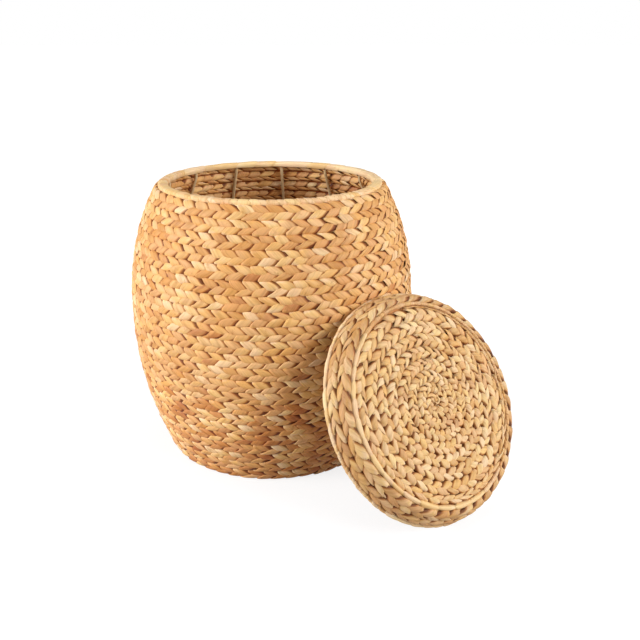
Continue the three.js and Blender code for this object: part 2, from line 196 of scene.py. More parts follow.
# Rows next to the floor: more red leaves and more painted shade for the shade near the floor, a stronger
# painted highlight, and deeper gaps
LOWER_ROW_LOOK = dict(WALL_LOOK, rarity=1.2, shade=1.0, edge=0.3, tip=0.26, glint=0.8)
FOOT_ROW_LOOK = dict(LOWER_ROW_LOOK, spread=1 * MM, shift=0.5 * MM)
SKIRT_LOOK = dict(
    LID_LOOK, half_height=2.2 * MM, closing=0.5 * MM, uneven=1.2, tip=0.2, edge=0.16, heel=0.36,
)
UPPER_SKIRT_LOOK = dict(SKIRT_LOOK, spread=4 * MM, shift=1 * MM, fold_light=0.9)

# Wall rows next to the floor: painted darker and redder as the shade near the floor, with deeper gaps
LOWER_ROWS = 8

# How the rolls lie. wraps is the least and greatest length of the short wraps and of the long
RIM_LOOK = {
    "width": 15.5 * MM, "height": 10.5 * MM, "boxy": 0.7, "lean": 5 * MM, "depth": 0.6 * MM,
    "wraps": (10 * MM, 17 * MM, 30 * MM, 70 * MM), "zones": (1, -60), "tones": (0.3, 1),
    "fuller": (0, 0),
}
MOUTH_LOOK = {
    "width": 7.5 * MM, "height": 7 * MM, "boxy": 0.85, "lean": 4 * MM, "depth": 0.7 * MM,
    "wraps": (7 * MM, 15 * MM, 15 * MM, 30 * MM), "zones": (4, 100), "tones": (0.3, 1),
    "fuller": (0, 0),
}
PIPING_LOOK = {
    "width": 6.8 * MM, "height": 8.8 * MM, "boxy": 0.9, "lean": 4.5 * MM, "depth": 0.8 * MM,
    "wraps": (9 * MM, 15 * MM, 18 * MM, 34 * MM), "zones": (1, 60), "tones": (0, 0.4),
    "fuller": (0.18, 290),
}

# Leaf materials: tones from dark to light, in values of 0 to 255, and how strong the details are
LEAVES = {
    "wall_leaf": {
        "fibre": 0.75, "stain": 0.7, "roughness": 0.6,
        "tones": (
            (0.0, 188, 124, 72), (0.14, 214, 158, 100), (0.45, 230, 180, 119),
            (0.75, 238, 196, 139), (1.0, 246, 216, 172),
        ),
    },
    # For the rows next to the floor: wall_leaf painted darker and redder as shade, with paler light tones
    "shaded_wall_leaf": {
        "fibre": 0.9, "stain": 0.8, "roughness": 0.6,
        "tones": (
            (0.0, 168, 98, 52), (0.2, 206, 142, 86), (0.5, 230, 178, 120),
            (0.75, 246, 206, 150), (1.0, 252, 228, 188),
        ),
    },
    "lid_leaf": {
        "fibre": 0.7, "stain": 0.4, "roughness": 0.62,
        "tones": ((0.0, 212, 168, 116), (0.3, 226, 186, 134), (0.6, 234, 200, 150), (1.0, 242, 216, 172)),
    },
    # A darker copy of lid_leaf, painting shade onto the skirt
    "shaded_skirt_leaf": {
        "fibre": 0.7, "stain": 0.6, "roughness": 0.62,
        "tones": ((0.0, 186, 140, 90), (0.3, 206, 162, 110), (0.6, 216, 178, 128), (1.0, 228, 198, 152)),
    },
    "roll_leaf": {
        "fibre": 0.5, "stain": 0.4, "roughness": 0.55,
        "tones": ((0.0, 226, 184, 132), (0.5, 240, 204, 154), (1.0, 248, 220, 176)),
    },
    "pale_leaf": {
        "fibre": 0.5, "stain": 0.3, "roughness": 0.55,
        "tones": ((0.0, 214, 170, 118), (0.5, 234, 196, 146), (1.0, 248, 224, 184)),
    },
}
WIRE_TONES = ((0.3, 196, 168, 124), (0.6, 224, 198, 154), (0.8, 238, 216, 178))

# Leaf surface: scales of the fine and the broad fibres, how far patches shift the tone, how often
# the hue turns with it, strength of the creases' colour, range and share of roughness, and gloss
FINE_SCALE = (22.0, 26.0, 1.0)
BROAD_SCALE = (14.0, 7.0, 1.0)
PATCH_SHIFT = 0.45
HUE_TURNS = 23.0
CREASE_COLOUR = 0.8
ROUGH_RANGE = 0.25
ROUGH_SHARE = 0.12
LEAF_GLOSS = 0.35

# Colours that the leaf tones are multiplied by
WARM = (0.98, 0.88, 0.72)
HUES = ((0.0, (1.0, 0.97, 0.82)), (0.5, WHITE), (1.0, (1.0, 0.96, 1.02)))
# Painted shade: darker and browner the higher a point's depth
PAINTED_SHADES = ((0.28, WHITE), (0.5, (0.68, 0.48, 0.31)), (0.75, (0.26, 0.13, 0.055)))
FIBRES = ((0.3, (0.78, 0.72, 0.64)), (0.5, WHITE), (0.72, (1.12, 1.1, 1.06)))
FOLDS = ((0.36, (0.8, 0.72, 0.62)), (0.5, WHITE), (1.0, (1.03, 1.03, 1.02)))
STAINS = ((0.0, WHITE), (0.62, WHITE), (0.74, (0.72, 0.58, 0.44)))


# The frame's nodes


def node_points(name):
    """Corners of a CAD node, as an array of points."""
    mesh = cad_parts[name].data
    points = np.empty(len(mesh.vertices) * 3, np.float32)
    mesh.vertices.foreach_get("co", points)
    return points.reshape(-1, 3).astype(float)


def box_centre(name):
    """Middle of a CAD node's box."""
    low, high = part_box(name)
    return (np.array(low) + np.array(high)) / 2


def lid_axes():
    """The lid's own frame as rotation rows and origin: mouth at height 0, top upwards."""
    mouth = box_centre("lid_mouth_hoop")
    up = box_centre("lid_top_hoop") - mouth
    up /= np.linalg.norm(up)
    across = np.cross([0, 0, 1], up)
    across /= np.linalg.norm(across)
    down_slope = np.cross(across, up)
    rows = np.array([down_slope, across, up])
    lowest = ((node_points("lid_mouth_binding") - mouth) @ up).min()
    return rows, mouth + up * lowest


AXES = {"basket": (np.eye(3), np.zeros(3)), "lid": lid_axes()}


def local_points(name, body):
    """Corners of a CAD node in its body's own frame."""
    rows, origin = AXES[body]
    return (node_points(name) - origin) @ rows.T


def to_world(points, body):
    """Points of a body's own frame, in the frame of the whole object."""
    rows, origin = AXES[body]
    return points @ rows + origin


def section_points(name, body):
    """Radius and height of a ring's corners in its body's own frame."""
    local = local_points(name, body)
    return np.stack([np.hypot(local[:, 0], local[:, 1]), local[:, 2]], axis=1)


def row_section(name, body):
    """Centre, directions along and outwards, width and thickness of a plaited row's section."""
    points = section_points(name, body)
    if len(points) >= MANY_CORNERS:
        points = np.unique(np.round(points, 5), axis=0)
    gaps = np.linalg.norm(points[:, None] - points[None, :], axis=2)
    low, high = np.unravel_index(gaps.argmax(), gaps.shape)
    if points[low][1] > points[high][1]:
        low, high = high, low
    along = points[high] - points[low]
    width = np.linalg.norm(along)
    along /= width
    centre = (points[high] + points[low]) / 2
    outward = np.array([along[1], -along[0]])
    thickness = 2 * np.abs((points - centre) @ outward).max()
    return centre, along, outward, width, thickness


def hoop_line(name, body):
    """Radius and height of a hoop's middle line."""
    ring = section_points(name, body)
    radius = (ring[:, 0].max() + ring[:, 0].min()) / 2
    middle = (ring[:, 1].max() + ring[:, 1].min()) / 2
    return radius, middle


# Small functions on arrays


def smoothstep(values):
    """Eases 0 to 1 with level ends."""
    held = np.clip(values, 0, 1)
    return held * held * (3 - 2 * held)


def signed_power(values, power):
    """Values raised to a power, with their sign kept."""
    return np.sign(values) * np.abs(values) ** power


def near(distance, reach):
    """1 at distance 0, falling off beyond the reach."""
    return np.exp(-((distance / reach) ** 2))


def radial_directions(angles):
    """Level unit directions at an array of angles."""
    return np.stack([np.cos(angles), np.sin(angles), np.zeros(len(angles))], axis=1)


def periodic_noise(angles, seed, terms, start):
    """Smooth noise round a ring, about -1 to 1, of waves from the start number on."""
    random = np.random.default_rng(seed)
    total = np.zeros_like(angles)
    for order in range(start, start + terms):
        total += random.normal() * np.cos(order * angles + random.uniform(0, FULL_TURN))
    return total / math.sqrt(terms)


def change_rate(values, closed):
    """How fast values change from one step to the next."""
    if closed:
        return (np.roll(values, -1) - np.roll(values, 1)) / 2
    return np.gradient(values)


# Mesh arrays and objects


def tube_mesh(name, points, closed, uv_lengths, looks):
    """A tube from rings of points, with a map of length and way round.

    points is rings x sides x 3, uv_lengths is one value a ring (and one more if closed),
    and looks is the tone, the warmth and the depth in the row, each rings x sides.
    """
    rings, sides = points.shape[:2]
    spans = rings if closed else rings - 1
    i = np.repeat(np.arange(spans), sides)
    j = np.tile(np.arange(sides), spans)
    following = (i + 1) % rings
    beside = (j + 1) % sides
    corners = [(i, j), (following, j), (following, beside), (i, beside)]
    quads = np.stack([ring * sides + side for ring, side in corners], axis=1)
    u = np.stack([uv_lengths[i], uv_lengths[i + 1], uv_lengths[i + 1], uv_lengths[i]], axis=1)
    v = np.stack([j, j, j + 1, j + 1], axis=1) / sides
    part = {"name": name, "vertices": points.reshape(-1, 3), "quads": quads, "u": u, "v": v}
    for key, values in zip(LOOKS, looks):
        part[key] = values.reshape(-1)
    return part


def join_parts(parts):
    """One set of mesh arrays from several."""
    joined = {"name": parts[0]["name"]}
    start = 0
    quads = []
    for part in parts:
        quads.append(part["quads"] + start)
        start += len(part["vertices"])
    joined["quads"] = np.concatenate(quads)
    for key in ("vertices", "u", "v", *LOOKS):
        joined[key] = np.concatenate([part[key] for part in parts])
    return joined


def make_object(part, material, body, replaced):
    """A smooth mesh object from arrays, riding on a body and pressed flat where it meets the floor."""
    mesh = bpy.data.meshes.new(part["name"])
    vertices = part["vertices"].astype(np.float32)
    vertices[:, 2] = np.maximum(vertices[:, 2], 0)
    quads = part["quads"].astype(np.int32)
    mesh.vertices.add(len(vertices))
    mesh.vertices.foreach_set("co", vertices.ravel())
    mesh.loops.add(quads.size)
    mesh.loops.foreach_set("vertex_index", quads.ravel())
    mesh.polygons.add(len(quads))
    mesh.polygons.foreach_set("loop_start", np.arange(0, quads.size, 4, dtype=np.int32))
    mesh.update(calc_edges=True)
    mesh.polygons.foreach_set("use_smooth", np.ones(len(quads), bool))
    layer = mesh.uv_layers.new(name="LeafMap")
    uv = np.stack([part["u"].ravel(), part["v"].ravel()], axis=1).astype(np.float32)
    layer.data.foreach_set("uv", uv.ravel())
    for key in LOOKS:
        attribute = mesh.attributes.new(key, "FLOAT", "POINT")
        attribute.data.foreach_set("value", part[key].astype(np.float32))
    mesh.validate()
    mesh.materials.append(material)
    made = bpy.data.objects.new(part["name"], mesh)
    bpy.context.scene.collection.objects.link(made)
    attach(made, body)
    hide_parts(*replaced)


# Plaits


class Path:
    """A row's middle line as a table of places and directions against distance along it."""

    def __init__(self, places, laterals, normals, distances, closed):
        self.table = np.concatenate([places, laterals, normals], axis=1)
        self.distances = distances
        self.length = distances[-1]
        self.closed = closed

    def at(self, distance):
        """Places, laterals and normals at an array of distances."""
        if self.closed:
            distance = distance % self.length
        else:
            distance = np.clip(distance, 0, self.length)
        flat = distance.ravel()
        columns = [np.interp(flat, self.distances, column) for column in self.table.T]
        found = np.stack(columns, axis=1).reshape(*distance.shape, 9)
        return found[..., 0:3], found[..., 3:6], found[..., 6:9]

    def to_end(self, distances):
        """Distances along the path, with its whole length added if it is closed."""
        closing = [self.length] if self.closed else []
        return np.concatenate([distances, closing])


def ring_path(centre, along, outward):
    """The path of a closed ring in its body's own frame."""
    angles = FULL_TURN * np.arange(RING_STEPS + 1) / RING_STEPS
    radial = radial_directions(angles)
    places = radial * centre[0] + UPRIGHT * centre[1]
    laterals = radial * along[0] + UPRIGHT * along[1]
    normals = radial * outward[0] + UPRIGHT * outward[1]
    return Path(places, laterals, normals, centre[0] * angles, True)


# Points round a folded leaf's section: a long low lens of unit half width and height
LEAF_ANGLES = FULL_TURN * np.arange(LEAF_POINTS) / LEAF_POINTS
LEAF_SIDE = signed_power(np.cos(LEAF_ANGLES), LEAF_FULLNESS)
LEAF_RISE = np.sin(LEAF_ANGLES)


def folded_lobe(angle, flatness, crossing):
    """Rise over the row's middle plane, front and back in turn: flat between steep ends.

    crossing is how far past the row's middle a leaf stays on top, as an angle.
    """
    late = angle - crossing * np.cos(angle) ** 2
    part = np.abs(2 * np.abs(np.sin(late)) - 1)
    return -np.sign(np.sin(2 * late)) * np.maximum(1 - part ** flatness, 0) ** (1 / flatness)


def leaf_numbers(angle, pointing, closed):
    """Which leaf each step belongs to, and how many leaves there are, of one strand."""
    number = np.floor((angle - LEAF_CHANGE * pointing) / math.pi).astype(int)
    number -= number.min()
    leaves = int(number.max()) + 1
    if closed:
        steps = len(angle)
        number %= int(round((angle[-1] - angle[0]) * steps / (steps - 1) / math.pi))
    return number, leaves


def leaf_variety(random, leaves, look):
    """What differs from leaf to leaf of a strand, as one value a leaf."""
    uneven = look["uneven"]
    return {
        "length": random.normal(1, LENGTH_VARIETY * uneven, leaves),
        "height": random.normal(1, HEIGHT_VARIETY * uneven, leaves),
        "tone": random.uniform(0, 1, leaves),
        "warmth": random.uniform(0, 1, leaves) ** look["rarity"],
        "lift": random.normal(0, LIFT_VARIETY * uneven, leaves),
        "tilt": random.normal(1, TILT_VARIETY * uneven, leaves),
    }


def strand_cycle(angle, look):
    """How far in front each step of a strand is, and how near the row's middle and a fold."""
    pointing = look["pointing"]
    lobe = folded_lobe(angle, look["flatness"], look["crossing"] * pointing) * pointing
    return lobe, np.cos(angle) ** SHARPNESS, np.sin(angle) ** SHARPNESS


def strand_points(path, distances, angle, cycle, sway, leaf, look, share, ends):
    """Points of one strand of flat leaves, and how far out of the row's middle plane each is."""
    lobe, middle, fold = cycle
    swing = look["width"] / 2 - look["half_height"]
    depth = look["thickness"] / 2 - look["half_height"]
    across = swing * np.sin(angle) * (1 + STRAND_SWAY * look["uneven"] * sway)
    outward = depth * lobe * (1 + leaf["lift"])
    rate_across = change_rate(across, path.closed)
    rate_outward = change_rate(outward, path.closed)
    size = np.hypot(rate_across, rate_outward)
    facing_across = rate_outward / size
    facing_outward = -rate_across / size
    under = 1 - look["tip"] * middle - look["edge"] * fold
    over = 1 - look["heel"] * fold
    taper = np.where(look["pointing"] * LEAF_SIDE < 0, over[:, None], under[:, None])
    half = (look["half_length"] * leaf["length"] * ends)[:, None] * taper
    high = look["half_height"] * leaf["height"] * (1 - look["dive"] * middle) * ends
    places, laterals, normals = path.at(distances[:, None] + half * LEAF_SIDE[None, :])
    step = np.where(lobe < 0, -BACK_TILT, -1) * look["overlap"] * look["pointing"]
    tilt = (step * leaf["tilt"] * lobe)[:, None] * LEAF_SIDE[None, :]
    lift = high[:, None] * LEAF_RISE[None, :]
    offset_across = (across[:, None] + lift * facing_across[:, None]) * share[:, None]
    offset_outward = outward[:, None] + lift * facing_outward[:, None] + tilt
    points = places + laterals * offset_across[..., None] + normals * offset_outward[..., None]
    return points, offset_outward


def strand_looks(cycle, offset_outward, leaf, run_tones, look):
    """Tone, warmth and depth at each point of a strand: the depth is painted shade, and the tone carries a
    painted highlight (glint) on the folds.
    """
    lobe, middle, fold = cycle
    blended = np.clip(OWN_TONE * leaf["tone"] + (1 - OWN_TONE) * run_tones, 0, 1)
    # Painted highlight: glint lightens the folds on each leaf's upper edge
    upper_edge = np.clip(-look["pointing"] * LEAF_SIDE, 0, 1)
    tones = np.clip(blended[:, None] + look["glint"] * fold[:, None] * upper_edge, 0, 1)
    warmths = np.repeat(leaf["warmth"][:, None], LEAF_POINTS, axis=1)
    # Painted shade: darker deeper in the row and on the edge tucked under the next leaf, less on the folds
    # and in the middle of back leaves
    tucked = np.clip((look["pointing"] * LEAF_SIDE - TUCK_START) / TUCK_WIDTH, 0, 1)
    painted_shade = 1 - np.abs(offset_outward) / (look["thickness"] / 2)
    lightened = look["fold_light"] * fold + BACK_LIGHT * middle * (lobe < 0)
    painted_shade = painted_shade * (1 - lightened[:, None]) + look["shade"] * tucked[None, :]
    return tones, warmths, np.clip(painted_shade, 0, 1)


def plait(name, path, phases, distances, look, seed, share):
    """Three flat leaves folded over each other along a path.

    phases is the plait's angle at each distance, and share narrows the row where it is
    below 1. look holds the row's width and thickness and how its leaves lie.
    """
    random = np.random.default_rng(seed)
    count = len(phases)
    ring = FULL_TURN * np.arange(count) / count
    uneven = look["uneven"]
    waves = max(int(path.length / look["drift"]), LEAST_WAVES)
    ends = np.ones(count)
    if not path.closed:
        ends = smoothstep(np.minimum(np.arange(count), np.arange(count)[::-1]) / END_STEPS)
    common = SHARED_WANDER * uneven * periodic_noise(ring, seed * SEED_OF["wander"], waves, 2)
    drifting = periodic_noise(ring, seed * SEED_OF["tones"], waves, 2)
    run_tones = DRIFT_TONE + DRIFT_RANGE * drifting
    parts = []
    for strand in range(STRANDS):
        own = periodic_noise(ring, seed * SEED_OF["strand"] + strand, 3 * waves, waves)
        wander = common + STRAND_WANDER * uneven * own
        angle = phases + FULL_TURN * strand / STRANDS + wander
        number, leaves = leaf_numbers(angle, look["pointing"], path.closed)
        variety = leaf_variety(random, leaves, look)
        leaf = {key: values[number] for key, values in variety.items()}
        cycle = strand_cycle(angle, look)
        sway = periodic_noise(ring, seed * SEED_OF["sway"] + strand, 3 * waves, waves)
        points, outward = strand_points(path, distances, angle, cycle, sway, leaf, look, share, ends)
        looks = strand_looks(cycle, outward, leaf, run_tones, look)
        lengths = path.to_end(distances) * MAP_STRETCH + MAP_STRAND * strand + MAP_SEED * seed
        parts.append(tube_mesh(name, points, path.closed, lengths, looks))
    parts.append(filling(name, path, distances[::2], look["inner"] * share[::2]))
    return join_parts(parts)


def filling(name, path, distances, half_widths):
    """A flat sheet in a row's middle plane, seen between the leaves, coloured dark as painted shade."""
    angles = FULL_TURN * np.arange(FILLING_SIDES) / FILLING_SIDES
    places, laterals, normals = path.at(distances)
    across = half_widths[:, None] * np.cos(angles)[None, :]
    outward = FILLING_HEIGHT * np.sin(angles)[None, :]
    points = places[:, None, :] + laterals[:, None, :] * across[..., None]
    points = points + normals[:, None, :] * outward[..., None]
    shape = across.shape
    painted_shade = np.broadcast_to(np.where(np.sin(angles) < 0, *FILLING_SHADES), shape)
    looks = (np.zeros(shape), np.ones(shape), painted_shade)
    return tube_mesh(name, points, path.closed, path.to_end(distances), looks)


def plaited_ring(name, body, look, spacing, seed):
    """A closed row of plait where a CAD ring is."""
    centre, along, outward, width, thickness = row_section(name, body)
    path = ring_path(centre + along * look["shift"], along, outward)
    periods = max(round(path.length / (STRANDS * spacing)), LEAST_PERIODS)
    count = periods * STEPS_PER_PERIOD
    distances = path.length * np.arange(count) / count
    phases = FULL_TURN * periods * np.arange(count) / count + ROW_TURN * seed
    full = dict(look, width=width + look["spread"], thickness=thickness)
    full["inner"] = width / 2 + look["closing"]
    full["half_length"] = look["reach"] * path.length / periods / STRANDS
    part = plait(name + "_plait", path, phases, distances, full, seed, np.ones(count))
    part["vertices"] = to_world(part["vertices"], body)
    return part


def plaited_mat(name, body, look, turns, swell, spacings, start, seed):
    """A plait wound from the middle outwards where a CAD mat is.

    swell makes the inner turns narrower than the outer ones, spacings are the leaf
    spacings in the middle and at the rim, and start is the direction it starts in.
    """
    points = local_points(name, body)
    radius = np.hypot(points[:, 0], points[:, 1]).max()
    low, high = points[:, 2].min(), points[:, 2].max()
    turn = np.linspace(MAT_START, turns + MAT_END, MAT_STEPS)

    def edge(value):
        part = np.clip(value / turns, 0, 1)
        return radius * ((1 - swell) * part + swell * part ** 2)

    outer = edge(turn)
    inner = edge(turn - 1)
    middle = (outer + inner) / 2
    radial = radial_directions(FULL_TURN * turn + math.radians(start))
    upright = np.tile(UPRIGHT, (len(turn), 1))
    places = radial * middle[:, None] + upright * (low + high) / 2
    steps = np.linalg.norm(np.diff(places, axis=0), axis=1)
    distances = np.concatenate([[0], np.cumsum(steps)])
    path = Path(places, radial, upright, distances, False)
    spacing = spacings[0] + (spacings[1] - spacings[0]) * (middle / radius) ** SPACING_GROWTH
    rate = FULL_TURN / (STRANDS * spacing)
    phases = np.concatenate([[0], np.cumsum(steps * (rate[1:] + rate[:-1]) / 2)])
    count = int(phases[-1] / FULL_TURN * STEPS_PER_PERIOD)
    wanted = np.linspace(0, phases[-1], count)
    chosen = np.interp(wanted, phases, distances)
    width = np.interp(chosen, distances, outer - inner)
    widest = width.max()
    full = dict(look, width=widest + look["spread"], thickness=high - low + look["proud"])
    full["inner"] = widest / 2 + look["closing"]
    full["half_length"] = look["reach"] * np.interp(chosen, distances, spacing)
    part = plait(name + "_plait", path, wanted, chosen, full, seed, width / widest)
    part["vertices"] = to_world(part["vertices"], body)
    return part


# Rolls wound round the hoops


def wrap_edges(length, wraps_of, zones, seed):
    """Where the wraps of a roll start, as angles, and which of them are long.

    wraps_of is the least and the greatest length of a short wrap and of a long one, and
    zones is how many stretches of long wraps the roll has, and their turn in degrees.
    """
    random = np.random.default_rng(seed)
    starts, long = [], []
    place = 0.0
    while place < length:
        turned = zones[0] * FULL_TURN * place / length + math.radians(zones[1])
        is_long = math.cos(turned) > 0
        starts.append(place)
        long.append(is_long)
        place += random.uniform(*wraps_of[2:4]) if is_long else random.uniform(*wraps_of[0:2])
    edges = np.array(starts + [place]) / place * FULL_TURN
    return edges, np.array(long)


def wrap_bulge(random, wraps, number, part_way, from_edge, depth, lump):
    """How far a roll's leaf stands out at each point: full wraps with a step at each edge."""
    swell = random.uniform(*WRAP_FULLNESS, wraps)[number]
    lift = random.normal(0, WRAP_LIFT, wraps)[number] * depth
    step = depth * (0.5 - part_way) + WRAP_SWELL * depth * swell * np.sin(math.pi * part_way)
    crease = CREASE_DEPTH * depth * near(from_edge, CREASE_WIDTH)
    return step + lift - crease + (LUMP_DEPTH * depth * lump)[:, None]


def bound_roll(name, hoop_name, body, look, seed):
    """A roll of flat leaf wound round a hoop: a flattened tube of uneven, overlapping wraps.

    look holds the roll's size, the wraps' lengths, how far a wrap's edge runs on from one
    side of the roll to the other (lean), the step at its edge (depth), and by which share
    the roll is fuller in one direction, in degrees.
    """
    radius, middle = hoop_line(hoop_name, body)
    length = FULL_TURN * radius
    random = np.random.default_rng(seed)
    edges, long = wrap_edges(length, look["wraps"], look["zones"], seed)
    wraps = len(long)
    count = int(length / ROLL_STEP)
    angles = FULL_TURN * np.arange(count) / count
    around = FULL_TURN * np.arange(ROLL_SIDES) / ROLL_SIDES

    # Which wrap each point is in, and where in it
    uneven = RAGGEDNESS / radius * periodic_noise(angles, seed + 1, *RAGGED_WAVES)
    ragged = uneven[:, None] * np.cos(2 * around)[None, :]
    leaning = look["lean"] / radius * np.sin(around)[None, :]
    place = (angles[:, None] + leaning + ragged) % FULL_TURN
    number = np.clip(np.searchsorted(edges, place, side="right") - 1, 0, wraps - 1)
    span = edges[number + 1] - edges[number]
    part_way = (place - edges[number]) / span
    from_edge = np.minimum(part_way, 1 - part_way) * (span * radius)

    # Shape
    depth = look["depth"]
    lump = periodic_noise(angles, seed + 2, *LUMP_WAVES)
    bulge = wrap_bulge(random, wraps, number, part_way, from_edge, depth, lump)
    share, direction = look["fuller"]
    fuller = (1 + share * np.cos(angles - math.radians(direction)))[:, None]
    out = look["width"] / 2 * fuller - depth / 2 + bulge
    rise = look["height"] / 2 * fuller - depth / 2 + bulge
    out = out * signed_power(np.cos(around), look["boxy"])[None, :]
    rise = rise * signed_power(np.sin(around), look["boxy"])[None, :]
    radial = radial_directions(angles)
    points = radial[:, None, :] * (radius + out)[:, :, None] + UPRIGHT * (middle + rise)[:, :, None]

    # Looks
    tone_of = random.uniform(*look["tones"], wraps)
    tone_of = np.where(long, LONG_TONE + (1 - LONG_TONE) * tone_of, tone_of)
    tones = np.clip(tone_of, 0, 1)[number]
    warmths = (random.uniform(0, 1, wraps) ** 2)[number]
    # Painted shade in the seams between wraps
    short_seam, long_seam = SEAM_SHADES
    painted_shade = np.where(long, long_seam, short_seam)[number] * near(from_edge, SEAM_WIDTH)
    lengths = length * np.arange(count + 1) / count
    part = tube_mesh(name, points, True, lengths, (tones, warmths, painted_shade))

    # The fibres of a short wrap run round the roll, so its map is turned
    first = part["quads"][:, 0]
    turned = ~long[number].reshape(-1)[first]
    girth = look["width"] + look["height"]
    turned_u = part["v"][turned] * girth
    part["v"][turned] = part["u"][turned] / girth
    part["u"][turned] = turned_u + MAP_WRAP * tones.reshape(-1)[first[turned]][:, None]
    part["vertices"] = to_world(part["vertices"], body)
    return part


def piping_bed(name, hoop_name, body):
    """Tucked leaf ends under the piping, from the mat across to the skirt, with a painted shade."""
    radius, middle = hoop_line(hoop_name, body)
    path = ring_path((radius, middle - BED_DROP), (1, 0), (0, 1))
    distances = path.length * np.arange(BED_STEPS) / BED_STEPS
    bed = filling(name, path, distances, np.full(BED_STEPS, BED_HALF_WIDTH))
    bed["depth"] = np.full(len(bed["vertices"]), BED_SHADE)
    bed["vertices"] = to_world(bed["vertices"], body)
    return bed


# Material nodes


def cleared_tree(owner):
    """The node tree of a material or a world, emptied."""
    owner.use_nodes = True
    owner.node_tree.nodes.clear()
    return owner.node_tree


def new_material(name):
    """An empty node material and its tree."""
    material = bpy.data.materials.new(name)
    return material, cleared_tree(material)


def add(tree, kind, **settings):
    """A node with its settings."""
    node = tree.nodes.new(kind)
    for key, value in settings.items():
        setattr(node, key, value)
    return node


def point_value(tree, name):
    """A value that each point of the mesh holds."""
    return add(tree, "ShaderNodeAttribute", attribute_name=name).outputs["Fac"]


def object_place(tree):
    """Place on the object."""
    return add(tree, "ShaderNodeTexCoord").outputs["Object"]


def math_node(tree, operation, first, second=0.0):
    """A Math node of two inputs, each a number or a socket."""
    node = add(tree, "ShaderNodeMath", operation=operation)
    for place, value in enumerate((first, second)):
        if isinstance(value, (int, float)):
            node.inputs[place].default_value = value
        else:
            tree.links.new(value, node.inputs[place])
    return node.outputs[0]


def stretched(tree, value, factor, offset):
    """A socket's value times a number, plus a number or another socket."""
    return math_node(tree, "ADD", math_node(tree, "MULTIPLY", value, factor), offset)


def ramp(tree, factor, stops):
    """A colour ramp of (place, colour) stops."""
    node = add(tree, "ShaderNodeValToRGB")
    elements = node.color_ramp.elements
    elements[0].position, elements[0].color = stops[0][0], (*stops[0][1], 1)
    elements[1].position, elements[1].color = stops[-1][0], (*stops[-1][1], 1)
    for place, colour in stops[1:-1]:
        made = elements.new(place)
        made.color = (*colour, 1)
    tree.links.new(factor, node.inputs[0])
    return node.outputs[0]


def mix(tree, blend, factor, first, second):
    """A colour Mix node; the factor and colours are values or sockets.

    Inputs 6 and 7 and output 2 are the node's colours.
    """
    node = add(tree, "ShaderNodeMix", data_type="RGBA", blend_type=blend)
    for socket, value in ((node.inputs[0], factor), (node.inputs[6], first), (node.inputs[7], second)):
        if isinstance(value, (int, float)):
            socket.default_value = value
        elif isinstance(value, tuple):
            socket.default_value = (*value, 1)
        else:
            tree.links.new(value, socket)
    return node.outputs[2]


def blend_shaders(tree, factor, first, second):
    """A mix of two shaders, by a socket."""
    node = add(tree, "ShaderNodeMixShader")
    for place, socket in enumerate((factor, first, second)):
        tree.links.new(socket, node.inputs[place])
    return node.outputs[0]


def noise(tree, vector, scale, detail, rough):
    """A noise texture's value."""
    node = add(tree, "ShaderNodeTexNoise")
    node.inputs["Scale"].default_value = scale
    node.inputs["Detail"].default_value = detail
    node.inputs["Roughness"].default_value = rough
    tree.links.new(vector, node.inputs["Vector"])
    return node.outputs[0]


def scaled(tree, vector, scale):
    """A vector times three numbers."""
    node = add(tree, "ShaderNodeVectorMath", operation="MULTIPLY")
    node.inputs[1].default_value = scale
    tree.links.new(vector, node.inputs[0])
    return node.outputs[0]


def bump(tree, height, strength, distance, below=None):
    """A bumped normal, on top of the one below if there is one."""
    node = add(tree, "ShaderNodeBump")
    node.inputs["Strength"].default_value = strength
    node.inputs["Distance"].default_value = distance
    tree.links.new(height, node.inputs["Height"])
    if below is not None:
        tree.links.new(below, node.inputs["Normal"])
    return node.outputs[0]


def principled(tree, base, rough, normal):
    """A shader with colour, roughness and normal from sockets."""
    shader = add(tree, "ShaderNodeBsdfPrincipled")
    tree.links.new(base, shader.inputs["Base Color"])
    tree.links.new(rough, shader.inputs["Roughness"])
    tree.links.new(normal, shader.inputs["Normal"])
    return shader


def show(tree, surface, kind="ShaderNodeOutputMaterial"):
    """The tree's output, with its surface linked."""
    tree.links.new(surface, add(tree, kind).inputs[0])


def srgb(red, green, blue):
    """A colour in values of 0 to 255, as the linear values that nodes hold."""
    out = []
    for value in (red, green, blue):
        share = value / 255
        out.append(share / 12.92 if share <= 0.04045 else ((share + 0.055) / 1.055) ** 2.4)
    return tuple(out)


def tone_stops(tones):
    """Ramp stops from places with colours in values of 0 to 255."""
    return [(place, srgb(*colour)) for place, *colour in tones]


# Materials


